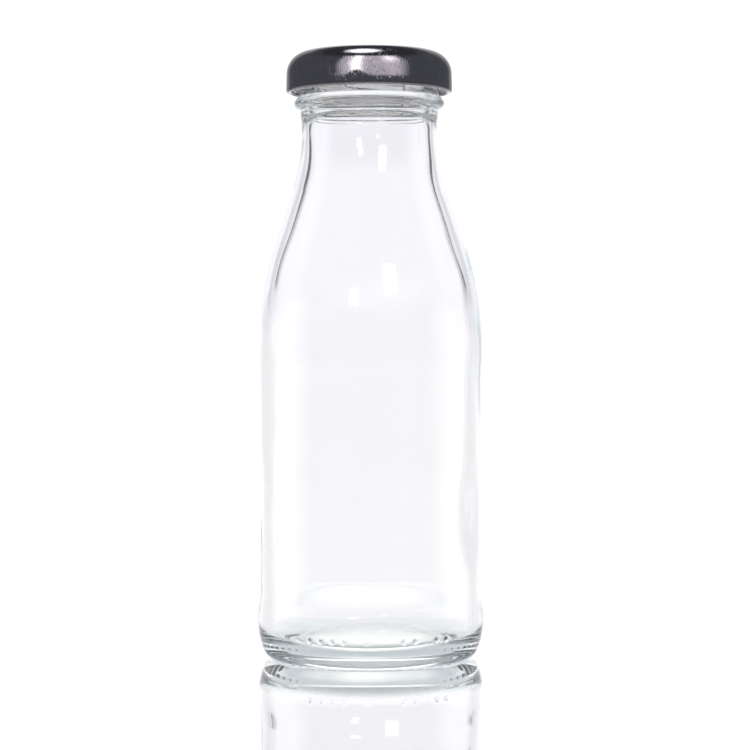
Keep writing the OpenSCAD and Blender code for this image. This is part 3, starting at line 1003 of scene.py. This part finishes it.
# ---------------------------------------------------------------- floor
def floor_material():
    """White gloss sheet, lit from its own brightness, with a painted pool of light under the bottle and a
    painted shadow round it, clear from below so that the base can be seen.
    """
    material, tree, output = node_material("white_gloss_floor")
    path = tree.nodes.new("ShaderNodeLightPath")
    place = tree.nodes.new("ShaderNodeTexCoord")
    away = tree.nodes.new("ShaderNodeVectorMath")
    away.operation = "LENGTH"
    tree.links.new(place.outputs["Object"], away.inputs[0])

    white = tree.nodes.new("ShaderNodeEmission")
    # The sheet's glow carries a painted pool of light under the bottle and a painted shadow round its heel
    uneven = math_node(tree, "MULTIPLY_ADD", noise(tree, 60, 2.0), SHADE_UNEVEN, away.outputs["Value"])
    spread = math_node(tree, "MULTIPLY", uneven, 1 / SHADE_REACH)
    tree.links.new(ramp(tree, spread, FLOOR_LIGHT_AND_SHADE), white.inputs["Color"])
    matt = math_node(tree, "MINIMUM", path.outputs["Diffuse Depth"], 1.0)
    tree.links.new(math_node(tree, "MULTIPLY_ADD", matt, MATT_LIFT, FLOOR_LEVEL), white.inputs["Strength"])

    mirror = tree.nodes.new("ShaderNodeBsdfAnisotropic")
    mirror.inputs["Roughness"].default_value = 0.0
    mirror.inputs["Color"].default_value = grey(0.992)
    facing = tree.nodes.new("ShaderNodeLayerWeight")
    facing.inputs["Blend"].default_value = 0.5
    share = ramp(tree, facing.outputs["Facing"], GLOSS_SHARE)
    far = soft_edge(tree, math_node(tree, "SUBTRACT", away.outputs["Value"], GLOSS_REACH), GLOSS_SOFT)
    faded = math_node(tree, "MULTIPLY", far, path.outputs["Is Camera Ray"])
    glossy = math_node(tree, "MULTIPLY", share, math_node(tree, "SUBTRACT", 1.0, faded))
    sheet = tree.nodes.new("ShaderNodeMixShader")
    tree.links.new(glossy, sheet.inputs[0])
    tree.links.new(white.outputs[0], sheet.inputs[1])
    tree.links.new(mirror.outputs[0], sheet.inputs[2])

    clear = tree.nodes.new("ShaderNodeBsdfTransparent")
    side = tree.nodes.new("ShaderNodeNewGeometry")
    both = tree.nodes.new("ShaderNodeMixShader")
    tree.links.new(side.outputs["Backfacing"], both.inputs[0])
    tree.links.new(sheet.outputs[0], both.inputs[1])
    tree.links.new(clear.outputs[0], both.inputs[2])
    tree.links.new(both.outputs[0], output.inputs["Surface"])
    return material


def make_floor():
    """The sheet that the bottle stands on."""
    mesh = bpy.data.meshes.new("floor")
    grid = bmesh.new()
    bmesh.ops.create_circle(grid, cap_ends=True, segments=FLOOR_SIDES, radius=FLOOR_RADIUS)
    grid.to_mesh(mesh)
    grid.free()
    mesh.materials.append(floor_material())
    floor = bpy.data.objects.new("floor", mesh)
    floor.location.z = -FLOOR_GAP
    bpy.context.scene.collection.objects.link(floor)
    return floor


# ---------------------------------------------------------------- the scene
camera = make_camera()
make_world()
floor = make_floor()

# Each card: name, radius, azimuths, heights, shape, colours and strength
AROUND = (-BACKDROP_HALF, BACKDROP_HALF)
BACKDROP_HEIGHTS = (BACKDROP_LOW, BACKDROP_TOP)
GLOW_HEIGHTS = (high(GLOW_FROM, GLOW_AWAY), high(GLOW_TO, GLOW_AWAY))
CARDS = [
    ("backdrop", BACKDROP_AWAY, AROUND, BACKDROP_HEIGHTS, backdrop_shape, BACKDROP_COLOURS, 1.14),
    ("lamp_right", LAMP_AWAY, (FRONT - 31, FRONT - 14), (0.29, 0.5), rectangle(0.2, 0.15), PLAIN, 3.8),
    ("lamp_left", LAMP_AWAY, (FRONT + 11.5, FRONT + 22.5), (0.23, 0.34), rectangle(0.2, 0.15), PLAIN, 4.5),
    ("backdrop_top", BACKDROP_AWAY, AROUND, (BACKDROP_TOP, 3.0), rectangle(0.05, 0.02), TOP_COLOURS, 1.0),
    ("cap_backdrop", 0.65, AROUND, BACKDROP_HEIGHTS, cap_backdrop_shape, PLAIN, 1.1),
    ("cap_room", 1.2, (-180, 180), (-1.0, 2.0), rectangle(0.0001, 0.3), ROOM_TINT, 0.07),
    ("cap_glow", GLOW_AWAY, (FRONT - 70, FRONT + 50), GLOW_HEIGHTS, cap_glow, FILL, 1.0),
]
stage_cards = {}
for name, radius, azimuths, heights, shape, colours, strength in CARDS:
    card = make_card(name, radius, azimuths, heights, card_material(name, shape, colours, strength))
    follow(card, camera)
    stage_cards[name] = card
follow(make_top_lamp(), camera)
stage_cards["cap_floor"] = make_cap_floor()
stage_cards["floor"] = floor

clear, stippled = glass_material("clear_soda_glass", 0.0), glass_material("stippled_soda_glass", STIPPLE)
bottle = make_glass(clear, stippled)
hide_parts("bottle")
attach(bottle, "glass")

cap = make_cap(gunmetal_material(), inner_lacquer_material())
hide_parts("cap_shell")
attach(cap, "cap")

ring = make_sealing_ring(plastisol_material())
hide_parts("cap_gasket")
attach(ring, "cap_carrier")

CAP_CARDS = ["cap_glow", "cap_backdrop", "cap_floor", "cap_room"]
GLASS_CARDS = ["floor", "backdrop", "backdrop_top", "lamp_right", "lamp_left"]
light_only("seen_in_cap", [cap], [stage_cards[name] for name in CAP_CARDS])
light_only("seen_in_glass", [bottle, ring, floor], [stage_cards[name] for name in GLASS_CARDS])

bpy.context.scene.view_settings.view_transform = "Standard"
light_paths = bpy.context.scene.cycles
light_paths.max_bounces = light_paths.transmission_bounces = light_paths.glossy_bounces = BOUNCES
light_paths.transparent_max_bounces = BOUNCES
